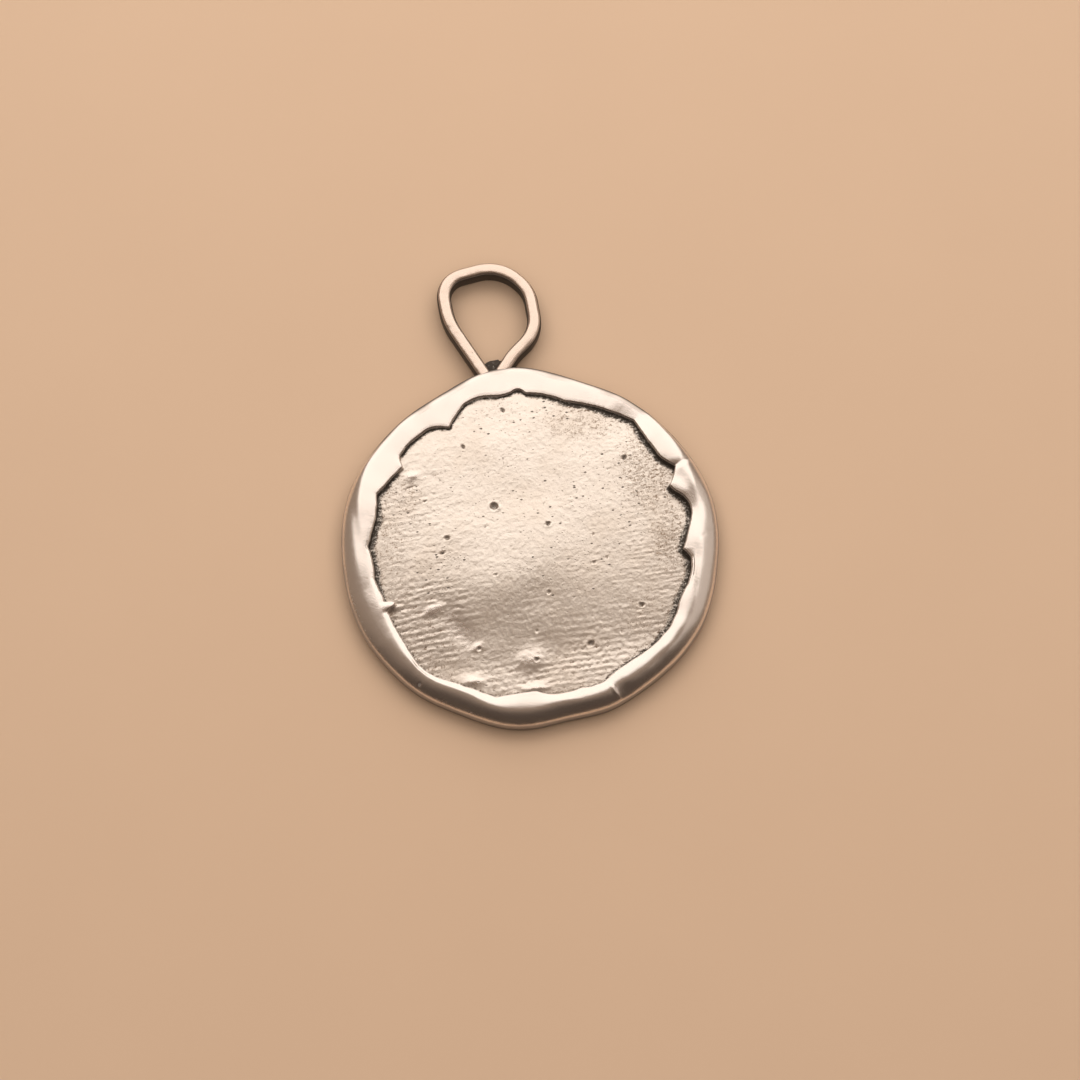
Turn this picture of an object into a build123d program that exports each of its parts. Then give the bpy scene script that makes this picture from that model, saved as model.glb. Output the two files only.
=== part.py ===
"""Silver disc pendant with a scalloped rim and a wire bail, in millimetres.

Frame: the origin is the middle of the disc on its flat back, +X points right and +Y towards
the bail as the face is seen, and +Z points out of the face. The disc with its rim, the bail
and the solder that joins them are one piece of metal, so they end as one solid.
"""

from build123d import *
import math
import os

# Disc and rim
disc_diameter = 28.8    # mean, across the rim
rim_width = 2.1         # mean, of the raised band seen from above
rim_height = 2.2        # back to the crest of the rim
side_height = 0.95      # back to the line where the side is widest
side_tuck = 0.35        # how far the side draws in at the back
wall_drop = 0.3         # crest to the edge where the rim's inner wall starts
wall_lean = 0.12        # how far that wall spreads into the face at its foot

# Face, sunk inside the rim
face_height = 1.35      # back to the face at its edge
face_dome = 0.4         # rise of the middle of the face above its edge
pit_diameter = 0.6      # the largest casting pit
pit_depth = 0.3

# Bail, a loop of flattened wire
bail_length = 9.4       # from the disc's edge to the top of the loop
bail_width = 7.7        # across the loop, outside
wire_width = 1.1        # as the face is seen
wire_height = 1.4
wire_round = 0.42       # corners of its section
wire_clearance = 0.4    # back of the disc to the underside of the wire

# Solder in the fork of the legs and beside each foot
solder_width = 5.6      # at its root inside the rim
solder_reach = 1.5      # outwards from the disc's edge
solder_height = 1.2     # back of the disc to the top of the solder
solder_round = 0.25

disc_radius = disc_diameter / 2
plate_radius = disc_radius - rim_width / 2
wire_middle = wire_clearance + wire_height / 2

# Points of the disc's outline, anticlockwise from +X as the face is seen:
# angle in degrees, radius as a share of the disc's radius.
outline_points = [
    (0, 1.009),
    (15, 1.005),
    (30, 0.989),
    (50, 0.987),
    (62, 0.981),
    (75, 1.006),
    (84, 1.028),
    (97, 1.020),
    (108, 0.991),
    (120, 0.987),
    (135, 0.990),
    (152, 1.007),
    (165, 1.000),
    (180, 0.994),
    (200, 1.006),
    (212, 1.004),
    (225, 1.007),
    (239, 0.997),
    (253, 1.012),
    (262, 1.004),
    (271, 0.984),
    (285, 0.997),
    (292, 0.995),
    (308, 1.001),
    (323, 1.011),
    (345, 1.000),
]

# Lobes pressed along the inner edge of the rim, each an arc that ends where the next starts:
# angle of its start in degrees, width of the band there and in the middle of the lobe, as
# shares of rim_width.
lobes = [
    (0, 0.90, 0.83),
    (9, 1.01, 1.19),
    (14, 1.30, 0.99),
    (20, 0.75, 0.95),
    (27, 1.02, 0.92),
    (42, 0.69, 0.93),
    (67, 1.10, 0.99),
    (81.5, 0.94, 0.77),
    (86.5, 0.86, 0.93),
    (93, 0.90, 0.80),
    (104, 0.90, 1.15),
    (113, 1.43, 1.17),
    (120, 1.02, 0.98),
    (134, 1.00, 1.13),
    (137, 1.34, 1.19),
    (151, 1.00, 1.16),
    (165, 1.14, 1.08),
    (171, 1.01, 1.15),
    (183.5, 1.09, 1.15),
    (191.5, 1.20, 1.18),
    (193.5, 1.17, 1.52),
    (197, 1.12, 1.07),
    (209, 1.01, 0.88),
    (220, 0.75, 0.76),
    (231, 0.86, 0.94),
    (248.5, 0.87, 1.10),
    (262.5, 1.21, 1.10),
    (269, 1.04, 1.02),
    (279, 1.06, 0.93),
    (290, 1.03, 1.08),
    (303, 1.03, 0.90),
    (323, 0.93, 1.01),
    (333, 0.99, 0.92),
    (345, 1.00, 1.14),
    (348, 1.30, 1.12),
]

# Shoulder of the rim above its widest line: height as a share of the way up to the crest,
# inset from the outline as a share of rim_width.
shoulder = [
    (0.00, 0.00),
    (0.52, 0.14),
    (0.86, 0.38),
    (1.00, 0.66),
]

# Rounding of the rim's inner edge: height as a share of wall_drop above the wall,
# spread outwards as a share of rim_width.
brow = [
    (0.00, 0.00),
    (0.75, 0.13),
    (1.00, 0.30),
    (2.00, 0.30),
]

# Corners of the wire's middle line, from a foot to the top of the loop: across as a share of
# the loop's width and up as a share of its length, both between wire middles, then the radius
# of the bend as a share of that width.
left_leg = [
    (-0.10, -0.08, 0.00),
    (-0.455, 0.56, 0.85),
    (-0.455, 0.96, 0.28),
    (-0.095, 0.99, 0.00),
]
right_leg = [
    (-0.055, -0.08, 0.00),
    (0.23, 0.155, 0.45),
    (0.55, 0.335, 0.45),
    (0.55, 0.735, 0.42),
    (0.265, 1.02, 0.48),
    (-0.095, 0.99, 0.00),
]

# Casting pits: place across and up as shares of the disc's radius, then size as a share of
# the largest pit.
pits = [
    (-0.148, 0.249, 1.00),
    (-0.006, 0.783, 0.75),
    (-0.253, 0.610, 0.65),
    (0.581, 0.404, 0.70),
    (0.116, 0.098, 0.65),
    (-0.423, 0.113, 0.75),
    (0.524, -0.426, 0.70),
    (0.222, -0.594, 0.85),
    (-0.078, -0.631, 0.60),
    (-0.362, -0.525, 0.60),
]


def polar(angle, radius):
    """A point of a level sketch, from its angle in degrees and its radius."""
    turn = math.radians(angle)
    return (radius * math.cos(turn), radius * math.sin(turn))


def disc_outline(height, inset):
    """Section of the disc's side: the outline drawn in by an inset, at a height."""
    with BuildSketch(Plane.XY.offset(height)) as section:
        with BuildLine():
            points = [polar(angle, share * disc_radius - inset) for angle, share in outline_points]
            Spline(*points, periodic=True)
        make_face()
    return section.sketch.face()


def scalloped_outline(height, spread):
    """Section of the hollow inside the rim: its lobes as a ring of arcs, at a height."""
    with BuildSketch(Plane.XY.offset(height)) as section:
        with BuildLine():
            for lobe, following in zip(lobes, lobes[1:] + lobes[:1]):
                start_angle, start_share, middle_share = lobe
                end_angle = start_angle + (following[0] - start_angle) % 360
                ThreePointArc(
                    polar(start_angle, disc_radius - start_share * rim_width + spread),
                    polar((start_angle + end_angle) / 2, disc_radius - middle_share * rim_width + spread),
                    polar(end_angle, disc_radius - following[1] * rim_width + spread),
                )
        make_face()
    return section.sketch.face()


def wire_corner(across, up):
    """A corner of the wire's middle line in the plane of the loop."""
    return (
        across * (bail_width - wire_width),
        disc_radius + up * (bail_length - wire_width / 2),
    )


# Blank: the outside of the disc and rim, from the back to the crest
with BuildPart() as blank:
    side = [disc_outline(0, side_tuck), disc_outline(0.4 * side_height, 0.15 * side_tuck)]
    for height_share, inset_share in shoulder:
        height = side_height + height_share * (rim_height - side_height)
        side.append(disc_outline(height, inset_share * rim_width))
    loft(sections=side)

# Hollow: the space inside the rim, from under the face to above the crest
with BuildPart() as hollow:
    wall = [scalloped_outline(face_height / 2, -wall_lean)]
    for height_share, spread_share in brow:
        height = rim_height + (height_share - 1) * wall_drop
        wall.append(scalloped_outline(height, spread_share * rim_width))
    loft(sections=wall)

# Plate: the domed face, with its edge hidden inside the rim
dome_radius = (plate_radius**2 + face_dome**2) / (2 * face_dome)
with BuildPart() as plate:
    with BuildSketch(Plane.XZ.rotated((0, 0, 5))):
        with BuildLine():
            Polyline(
                (0, face_height + face_dome),
                (0, face_height / 4),
                (plate_radius, face_height / 4),
                (plate_radius, face_height),
            )
            RadiusArc((plate_radius, face_height), (0, face_height + face_dome), -dome_radius)
        make_face()
    revolve(axis=Axis.Z)

# Bail: the wire's section swept up each leg to the top of the loop
with BuildPart() as bail:
    for leg in (left_leg, right_leg):
        corners = [wire_corner(across, up) for across, up, _ in leg]
        bends = [bend * (bail_width - wire_width) for _, _, bend in leg[1:-1]]
        with BuildLine(Plane.XY.offset(wire_middle)) as route:
            FilletPolyline(*corners, radius=bends)
        with BuildSketch(Plane(origin=route.line @ 0, x_dir=(0, 0, 1), z_dir=route.line % 0)):
            RectangleRounded(wire_height, wire_width, wire_round)
        sweep(path=route.line)

# Solder: a low fill that runs from inside the rim out between the legs
with BuildPart() as solder:
    with BuildSketch(Plane.XY.offset(wire_clearance)):
        with BuildLine():
            Polyline(
                (-0.45 * solder_width, plate_radius),
                (-0.13 * solder_width, disc_radius + solder_reach),
                (0.17 * solder_width, disc_radius + solder_reach),
                (0.55 * solder_width, plate_radius),
                close=True,
            )
        make_face()
    extrude(amount=solder_height - wire_clearance)
    fillet(solder.edges().filter_by(Axis.Z).group_by(Axis.Y)[-1], solder_round)
    fillet(solder.faces().sort_by(Axis.Z)[-1].edges(), solder_round)

# Pendant: all of it as one piece of metal
with BuildPart() as pendant:
    add(blank.part)
    add(hollow.part, mode=Mode.SUBTRACT)
    add(plate.part)
    for across, up, size in pits:
        place = (across * disc_radius, up * disc_radius)
        dome_drop = dome_radius - math.sqrt(dome_radius**2 - place[0]**2 - place[1]**2)
        width = size * pit_diameter
        depth = size * pit_depth
        ball = (width**2 / 4 + depth**2) / (2 * depth)
        with Locations((*place, face_height + face_dome - dome_drop - depth + ball)):
            Sphere(ball, mode=Mode.SUBTRACT)
    add(bail.part)
    add(solder.part)

os.makedirs("parts", exist_ok=True)
pendant.part.label = "pendant"
export_step(pendant.part, "parts/pendant.step")
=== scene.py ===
"""Looks of a cast silver disc pendant: its lobed rim, its pressed face and its soldered wire bail.

Lengths are millimetres unless a name ends in _m, and become metres when a mesh is made. The
origin is the middle of the disc on its flat back, +X runs right and +Y towards the bail as the
face is seen, and +Z runs out of the face.
"""

import logging
import math
from dataclasses import dataclass
from enum import Enum
from typing import NamedTuple

import bpy
import numpy as np
from mathutils import Matrix


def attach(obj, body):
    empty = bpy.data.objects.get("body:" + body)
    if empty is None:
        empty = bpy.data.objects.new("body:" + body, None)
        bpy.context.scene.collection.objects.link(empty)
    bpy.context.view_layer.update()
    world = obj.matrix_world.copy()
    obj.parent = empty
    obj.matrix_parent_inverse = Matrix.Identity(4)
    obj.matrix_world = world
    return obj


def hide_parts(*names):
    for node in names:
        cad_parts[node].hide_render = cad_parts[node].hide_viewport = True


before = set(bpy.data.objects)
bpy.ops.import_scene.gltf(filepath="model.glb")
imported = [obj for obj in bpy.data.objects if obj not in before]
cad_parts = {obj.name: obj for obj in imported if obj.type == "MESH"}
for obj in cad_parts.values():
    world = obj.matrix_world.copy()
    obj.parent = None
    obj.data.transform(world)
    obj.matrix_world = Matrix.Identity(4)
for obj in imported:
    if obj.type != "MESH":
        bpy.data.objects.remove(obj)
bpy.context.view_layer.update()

Array = np.ndarray
LOG = logging.getLogger("pendant")
NODE = "pendant"
METRES = 0.001
IMAGE_PX = 1080
SENSOR_MM = 36.0


def smooth_step(low: float | Array, high: float | Array, x: Array) -> Array:
    """Rise smoothly from 0 at low to 1 at high, as three t squared less two t cubed.

    Args:
        low: where the result leaves 0.
        high: where it reaches 1, above or below low.
        x: values to read it at.

    Returns:
        The rise at each value.
    """
    t = np.clip((x - low) / (high - low), 0.0, 1.0)
    return t * t * (3.0 - 2.0 * t)


class Around(NamedTuple):
    """A value at an angle round the disc."""

    angle_deg: float
    value: float


class Lobe(NamedTuple):
    """A lobe of the rim's inner edge, which ends where the next one starts."""

    start_deg: float
    band_at_start: float
    band_in_middle: float


class Patch(NamedTuple):
    """A soft oval patch of the face: its middle, half sizes, strength and, for ribs, spacing."""

    x: float
    y: float
    half_x: float
    half_y: float
    strength: float
    pitch: float = 0.5

    def spread(self, x: Array, y: Array, outer: float, inner: float) -> Array:
        """Its strength over the face, by the distance from its middle in half sizes.

        Args:
            x: across.
            y: up.
            outer: distance from which there is none of it.
            inner: distance up to which it is whole.

        Returns:
            The strength at each place.
        """
        away = np.hypot((x - self.x) / self.half_x, (y - self.y) / self.half_y)
        return self.strength * smooth_step(outer, inner, away)


class Pit(NamedTuple):
    """A bubble hole: its place, half length, half width, turn and depth."""

    x: float
    y: float
    half_length: float
    half_width: float
    turn_deg: float
    depth: float


class Profile(Enum):
    """How a mark rises: the power of distance in its falling exponential."""

    SOFT = 2.0
    ROUND = 3.0


class Mark(NamedTuple):
    """A lump (rising) or dent (falling), its oxide, how bright it is rubbed and its profile."""

    x: float
    y: float
    half_length: float
    half_width: float
    turn_deg: float
    rise: float
    oxide_and_shade: float = 0.0
    rub: float = 0.0
    profile: Profile = Profile.SOFT


class Corner(NamedTuple):
    """A corner of the bail's middle line, in shares of the loop's width and length."""

    across: float
    up: float
    bend: float


# The disc's outline, as shares of its radius.
OUTLINE = [Around(*row) for row in (
    (0, 1.009), (15, 1.005), (30, 0.989), (50, 0.987), (62, 0.981), (75, 1.006), (84, 1.028),
    (97, 1.020), (108, 0.991), (120, 0.987), (135, 0.990), (152, 1.007), (165, 1.000),
    (180, 0.994), (200, 1.006), (212, 1.004), (225, 1.007), (239, 0.997), (253, 1.012),
    (262, 1.004), (271, 0.984), (285, 0.997), (292, 0.995), (308, 1.001), (323, 1.011),
    (345, 1.000),
)]

# The lobes of the rim's inner edge, as shares of the rim's mean width.
LOBES = [Lobe(*row) for row in (
    (0, 0.90, 0.83), (9, 1.01, 1.19), (14, 1.30, 0.99), (20, 0.75, 0.95), (27, 1.02, 0.92),
    (42, 0.69, 0.93), (67, 1.10, 0.99), (81.5, 0.94, 0.77), (86.5, 0.86, 0.93), (93, 0.90, 0.80),
    (104, 0.90, 1.15), (113, 1.43, 1.17), (120, 1.02, 0.98), (134, 1.00, 1.13), (137, 1.34, 1.19),
    (151, 1.00, 1.16), (165, 1.14, 1.08), (171, 1.01, 1.15), (183.5, 1.09, 1.15),
    (191.5, 1.20, 1.18), (193.5, 1.17, 1.52), (197, 1.12, 1.07), (209, 1.01, 0.88),
    (220, 0.75, 0.76), (231, 0.86, 0.94), (248.5, 0.87, 1.10), (262.5, 1.21, 1.10),
    (269, 1.04, 1.02), (279, 1.06, 0.93), (290, 1.03, 1.08), (303, 1.03, 0.90), (323, 0.93, 1.01),
    (333, 0.99, 0.92), (345, 1.00, 1.14), (348, 1.30, 1.12),
)]

# Where the rim's crest runs, as a share of the band from its inner edge.
CREST = [Around(*row) for row in (
    (0, 0.32), (18, 0.44), (34, 0.72), (60, 0.74), (90, 0.66), (120, 0.70), (135, 0.78),
    (146, 0.72), (154, 0.46), (164, 0.28), (174, 0.20), (205, 0.19), (220, 0.24), (240, 0.32),
    (262, 0.44), (285, 0.46), (300, 0.42), (320, 0.36), (335, 0.25), (350, 0.26),
)]

# How far the dark oxide reaches from the foot of the wall over the face, in mm.
OXIDE_REACH = [Around(*row) for row in (
    (0, 0.90), (10, 0.80), (15, 0.02), (19, 0.02), (24, 0.70), (45, 0.80), (66, 0.50), (80, 0.17),
    (100, 0.10), (108, 0.18), (118, 0.14), (131, 0.20), (136, 0.02), (139, 0.05), (146, 0.40),
    (156, 0.85), (172, 1.00), (186, 0.65), (193, 0.02), (198, 0.02), (203, 0.42), (225, 0.42),
    (245, 0.44), (262, 0.42), (280, 0.34), (290, 0.44), (304, 0.74), (320, 0.98), (340, 1.08),
    (348, 0.85),
)]

# How far up the wall that oxide climbs, as a share of its height. It is partly patina and
# partly painted shade of the recess.
OXIDE_CLIMB = [Around(*row) for row in (
    (0, 1.05), (45, 1.05), (66, 1.00), (82, 0.80), (125, 0.75), (146, 0.85), (158, 1.00),
    (186, 0.90), (200, 0.40), (225, 0.62), (262, 0.62), (290, 0.72), (304, 0.88), (320, 0.98),
    (340, 1.05),
)]

# Where the pressed ribs show, strongest at the lower left.
RIB_PATCHES = [Patch(*row) for row in (
    (-9.0, -5.2, 4.4, 4.6, 1.05, 0.54), (-2.0, -10.4, 7.5, 2.3, 0.75, 0.50),
    (5.8, -9.0, 5.2, 3.4, 0.90, 0.50), (9.8, -2.2, 3.3, 4.8, 0.44, 0.38),
    (9.6, 4.3, 3.0, 3.6, 0.26, 0.40), (-8.7, 3.2, 3.0, 3.4, 0.42, 0.50),
    (-7.4, 7.4, 2.6, 2.6, 0.36, 0.56), (0.6, -6.0, 5.0, 2.6, 0.22, 0.50),
)]

# Bubble holes, and the shape that they share: the power of distance in the hole's fall, its
# oxide, and its lip's height as a share of its depth, distance and width squared.
PIT_POWER = 4
PIT_OXIDE = 0.72
PIT_LIP_RISE = 0.14
PIT_LIP_AWAY = 1.4
PIT_LIP_SPREAD = 0.16
PITS = [Pit(*row) for row in (
    (-2.13, 3.55, 0.28, 0.22, -20, 0.26), (-0.14, 11.26, 0.19, 0.12, -50, 0.14),
    (-3.64, 8.78, 0.19, 0.11, -60, 0.14), (8.36, 5.82, 0.16, 0.16, 0, 0.18),
    (1.67, 1.41, 0.16, 0.15, 0, 0.18), (-6.09, 1.62, 0.19, 0.15, -35, 0.16),
    (-6.62, 0.50, 0.27, 0.13, 10, 0.05), (4.57, -2.24, 0.12, 0.11, 0, 0.12),
    (5.61, -2.01, 0.09, 0.10, 0, 0.08), (4.90, 0.01, 0.09, 0.09, 0, 0.08),
    (0.78, -4.04, 0.13, 0.11, -30, 0.14), (7.55, -6.13, 0.17, 0.16, 0, 0.20),
    (3.19, -8.55, 0.25, 0.16, 0, 0.20), (-1.05, -9.10, 0.15, 0.12, 0, 0.20),
    (-5.18, -7.50, 0.17, 0.10, 20, 0.14), (-0.65, -6.89, 0.09, 0.08, 0, 0.08),
    (-2.94, -1.99, 0.11, 0.09, 0, 0.08), (-7.24, 4.90, 0.11, 0.08, 30, 0.08),
    (-10.09, -9.69, 0.15, 0.13, 0, 0.06), (-1.62, 16.35, 0.12, 0.08, 70, 0.03),
)]

# Lumps and dents of face and rim, some of them rubbed bright and some holding oxide.
MARKS = [
    Mark(-1.42, -9.05, 1.10, 0.85, 0, 0.17, rub=0.7),
    Mark(-6.11, -9.95, 0.80, 0.42, -12, 0.16, rub=1.0),
    Mark(-1.60, -11.30, 0.95, 0.34, 0, 0.14, rub=1.0),
    Mark(-7.88, 7.12, 0.50, 0.33, 12, 0.085, rub=1.0),
    Mark(-8.15, 6.20, 0.40, 0.10, 8, -0.05, oxide_and_shade=0.55),
    Mark(-6.25, -5.80, 1.85, 0.85, -64, -0.080, oxide_and_shade=0.34, rub=0.7),
    Mark(-2.40, -2.90, 3.00, 1.90, 8, 0.075),
    Mark(-5.25, -7.35, 0.42, 0.28, 20, 0.08, rub=0.8),
    Mark(-8.06, -3.85, 0.75, 0.40, 12, 0.07, rub=1.0, profile=Profile.ROUND),
    Mark(-11.15, -3.20, 0.42, 0.20, 5, 0.14, rub=1.0),
    Mark(4.38, -13.05, 0.62, 0.13, -62, 0.07),
    Mark(5.10, -12.85, 0.85, 0.60, -20, -0.11),
    Mark(-12.72, 3.90, 2.20, 0.42, 90, -0.06),
    Mark(12.04, 2.55, 0.70, 0.42, -60, 0.06, profile=Profile.ROUND),
    Mark(13.35, 0.45, 1.90, 1.10, 95, -0.24),
    Mark(13.23, -1.58, 0.17, 0.14, 0, -0.02, oxide_and_shade=0.40),
]

# Where tiny casting pits are strewn, by the share of places that hold one.
SPECK_PATCHES = [Patch(*row) for row in (
    (-7.2, -0.8, 2.8, 2.2, 0.42), (8.2, 3.4, 3.8, 4.6, 0.36), (3.0, -1.6, 5.5, 3.4, 0.24),
    (-8.5, 4.5, 2.4, 3.0, 0.38), (2.0, 10.5, 6.5, 1.8, 0.24), (3.5, 3.5, 6.0, 5.5, 0.16),
    (-4.0, 5.5, 4.5, 4.5, 0.15),
)]

# Where brown oxide stayed in the fine wrinkles of the face.
STAINS = [Patch(*row) for row in (
    (10.2, 4.4, 3.4, 4.8, 0.44), (11.0, -1.4, 2.5, 4.6, 0.43), (6.2, 9.6, 5.0, 2.4, 0.37),
    (-0.5, 11.4, 3.5, 1.2, 0.24), (-10.4, 2.0, 1.8, 3.6, 0.36), (-9.0, 6.0, 2.4, 2.6, 0.34),
    (-10.4, -2.6, 1.6, 2.8, 0.32), (-8.4, -6.8, 4.6, 4.8, 0.33), (0.5, -11.4, 8.0, 1.2, 0.20),
    (8.2, -7.0, 3.6, 3.4, 0.32), (-5.9, 6.9, 0.8, 0.55, 0.33),
)]

# The bail's middle line, from its left foot over the top to its right foot.
LEFT_LEG = [Corner(*row) for row in (
    (-0.10, -0.08, 0.00), (-0.455, 0.56, 0.85), (-0.455, 0.96, 0.28), (-0.095, 0.99, 0.00),
)]
RIGHT_LEG = [Corner(*row) for row in (
    (-0.095, 0.99, 0.00), (0.265, 1.02, 0.48), (0.55, 0.735, 0.42), (0.55, 0.335, 0.45),
    (0.23, 0.155, 0.45), (-0.055, -0.08, 0.00),
)]


def read_around(rows: list[Around], angle: Array, blur_deg: float = 2.5) -> Array:
    """Read a table round the disc: straight lines between its rows, averaged over a few degrees.

    Args:
        rows: the table, in rising order of angle.
        angle: angles in radians.
        blur_deg: half the width that is averaged.

    Returns:
        The value at each angle.
    """
    knots, values = np.radians([row.angle_deg for row in rows]), [row.value for row in rows]
    shifts = np.radians(np.linspace(-blur_deg, blur_deg, 5))
    reads = [np.interp(angle + shift, knots, values, period=2.0 * np.pi) for shift in shifts]
    return np.mean(reads, axis=0)


def turned_distance(x: Array, y: Array, place: "Pit | Mark") -> Array:
    """Distance from a mark's middle, in its half lengths along it and half widths across it.

    Args:
        x: across.
        y: up.
        place: the pit or mark.

    Returns:
        1 on the mark's outline, an ellipse.
    """
    turn = math.radians(place.turn_deg)
    along = (x - place.x) * math.cos(turn) + (y - place.y) * math.sin(turn)
    across = (y - place.y) * math.cos(turn) - (x - place.x) * math.sin(turn)
    return np.hypot(along / place.half_length, across / place.half_width)


class Touch(NamedTuple):
    """What the pits and marks do to a surface: rise, oxide and how bright it is rubbed."""

    rise: Array
    oxide_and_shade: Array
    rub: Array


def touch_by_marks(x: Array, y: Array) -> Touch:
    """Sum the pits and marks: each is its rise times the exponential of minus a power of distance.

    A pit also has a faint raised lip, a narrow bell round its edge.

    Args:
        x: across.
        y: up.

    Returns:
        The rise, the oxide and the rubbing.
    """
    rise, oxide_and_shade, rub = np.zeros_like(x), np.zeros_like(x), np.zeros_like(x)
    for pit in PITS:
        away = turned_distance(x, y, pit)
        hole = np.exp(-(away**PIT_POWER))
        lip = PIT_LIP_RISE * np.exp(-((away - PIT_LIP_AWAY) ** 2) / PIT_LIP_SPREAD)
        rise += pit.depth * (lip - hole)
        oxide_and_shade = np.maximum(oxide_and_shade, PIT_OXIDE * hole)
    for mark in MARKS:
        shape = np.exp(-(turned_distance(x, y, mark) ** mark.profile.value))
        rise += mark.rise * shape
        oxide_and_shade = np.maximum(oxide_and_shade, mark.oxide_and_shade * shape)
        rub = np.maximum(rub, mark.rub * shape)
    return Touch(rise, oxide_and_shade, rub)


@dataclass(frozen=True)
class Noise:
    """Smooth noise over a plane: seeded lattice values joined by a quintic fade, times a rise."""

    cell: float
    seed: int
    rise: float = 1.0
    stretch: float = 1.0
    lattice: int = 256

    def __call__(self, x: Array, y: Array) -> Array:
        """Read the noise.

        Args:
            x: across, in mm.
            y: up, in mm.

        Returns:
            Values from minus its rise to its rise.
        """
        values = np.random.default_rng(self.seed).uniform(-1.0, 1.0, (self.lattice, self.lattice))
        u = x / (self.cell * self.stretch) + self.lattice / 2
        v = y / self.cell + self.lattice / 2
        i, j = np.floor(u).astype(int), np.floor(v).astype(int)
        s, t = u - i, v - j
        s = s**3 * (s * (6.0 * s - 15.0) + 10.0)
        t = t**3 * (t * (6.0 * t - 15.0) + 10.0)
        i0, i1 = i % self.lattice, (i + 1) % self.lattice
        j0, j1 = j % self.lattice, (j + 1) % self.lattice
        low = values[i0, j0] * (1.0 - s) + values[i1, j0] * s
        high = values[i0, j1] * (1.0 - s) + values[i1, j1] * s
        return self.rise * (low * (1.0 - t) + high * t)


def pile(noises: tuple[Noise, ...], x: Array, y: Array, start: float = 0.0) -> Array:
    """Sum of several noises at places, on top of a start."""
    return sum((noise(x, y) for noise in noises), start)


def signed_power(values: Array, power: float) -> Array:
    """Raise the sizes of values to a power and keep their signs, as a superellipse does."""
    return np.sign(values) * np.abs(values) ** power


class ClosedCurve:
    """The disc's outline, as a periodic cubic spline of radius over angle."""

    def __init__(self, rows: list[Around]) -> None:
        """Solve the spline's second derivatives from its continuity at every knot.

        Args:
            rows: the outline's points, in rising order of angle.
        """
        table = np.array(rows, dtype=float)
        self.knots = np.radians(table[:, 0])
        self.values = table[:, 1]
        gap = np.diff(np.append(self.knots, self.knots[0] + 2.0 * np.pi))
        slope = (np.roll(self.values, -1) - self.values) / gap
        before = np.roll(gap, 1)
        count = len(self.values)
        around = np.arange(count)
        matrix = np.zeros((count, count))
        matrix[around, around - 1] = before
        matrix[around, around] = 2.0 * (before + gap)
        matrix[around, (around + 1) % count] = gap
        self.gap = gap
        self.bend = np.linalg.solve(matrix, 6.0 * (slope - np.roll(slope, 1)))

    def __call__(self, angle: Array) -> Array:
        """Read the curve at angles in radians.

        Args:
            angle: angles round the disc.

        Returns:
            The value at each angle.
        """
        turn = (angle - self.knots[0]) % (2.0 * np.pi) + self.knots[0]
        span = np.searchsorted(self.knots, turn, side="right") - 1
        after = (span + 1) % len(self.values)
        gap = self.gap[span]
        t = (turn - self.knots[span]) / gap
        straight = self.values[span] * (1.0 - t) + self.values[after] * t
        start = ((1.0 - t) ** 3 - (1.0 - t)) * self.bend[span]
        end = (t**3 - t) * self.bend[after]
        return straight + (start + end) * gap**2 / 6.0


class LobedEdge:
    """The rim's inner edge: in each lobe a parabola through its start, middle and end."""

    def __init__(self, rows: list[Lobe]) -> None:
        """Keep the lobes' starts, starting widths and middle widths as arrays.

        Args:
            rows: the lobes in rising order of angle, the first at 0 degrees.
        """
        table = np.array(rows, dtype=float)
        self.starts = np.radians(table[:, 0])
        self.ends = np.append(self.starts[1:], 2.0 * np.pi)
        self.first, self.middle = table[:, 1], table[:, 2]
        self.last = np.roll(self.first, -1)

    def __call__(self, angle: Array) -> Array:
        """Read the width of the band, as a share of its mean, at angles in radians.

        Args:
            angle: angles round the disc.

        Returns:
            The share at each angle.
        """
        turn = angle % (2.0 * np.pi)
        span = np.searchsorted(self.starts, turn, side="right") - 1
        t = (turn - self.starts[span]) / (self.ends[span] - self.starts[span])
        first = self.first[span] * (1.0 - t) * (1.0 - 2.0 * t)
        last = self.last[span] * t * (2.0 * t - 1.0)
        return first + 4.0 * self.middle[span] * t * (1.0 - t) + last


class Val:
    """A socket of a node tree that takes part in Python expressions."""

    def __init__(self, tree: "Tree", socket: bpy.types.NodeSocket) -> None:
        """Wrap a socket of a tree."""
        self.tree = tree
        self.socket = socket

    def _math(self, operation: str, first: "Val | float", second: "Val | float") -> "Val":
        """Add a Math node and return its result."""
        return self.tree.node("ShaderNodeMath", {"operation": operation}, {0: first, 1: second})[0]

    def __add__(self, other: "Val | float") -> "Val":
        """Sum."""
        return self._math("ADD", self, other)

    def __radd__(self, other: float) -> "Val":
        """Sum, with the number first."""
        return self._math("ADD", other, self)

    def __sub__(self, other: "Val | float") -> "Val":
        """Difference."""
        return self._math("SUBTRACT", self, other)

    def __rsub__(self, other: float) -> "Val":
        """Difference, with the number first."""
        return self._math("SUBTRACT", other, self)

    def __mul__(self, other: "Val | float") -> "Val":
        """Product."""
        return self._math("MULTIPLY", self, other)

    def __rmul__(self, other: float) -> "Val":
        """Product, with the number first."""
        return self._math("MULTIPLY", other, self)

    def at_least(self, other: "Val | float") -> "Val":
        """The larger of the two."""
        return self._math("MAXIMUM", self, other)

    def ramp(self, low: float, high: float, start: float = 0.0, end: float = 1.0) -> "Val":
        """Carry low..high smoothly to start..end and hold it there outside.

        Args:
            low: value that gives start.
            high: value that gives end.
            start: result at low.
            end: result at high.

        Returns:
            The remapped value.
        """
        limits = {"From Min": low, "From Max": high, "To Min": start, "To Max": end}
        settings = {"interpolation_type": "SMOOTHSTEP"}
        return self.tree.node("ShaderNodeMapRange", settings, {"Value": self, **limits})["Result"]


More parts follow.
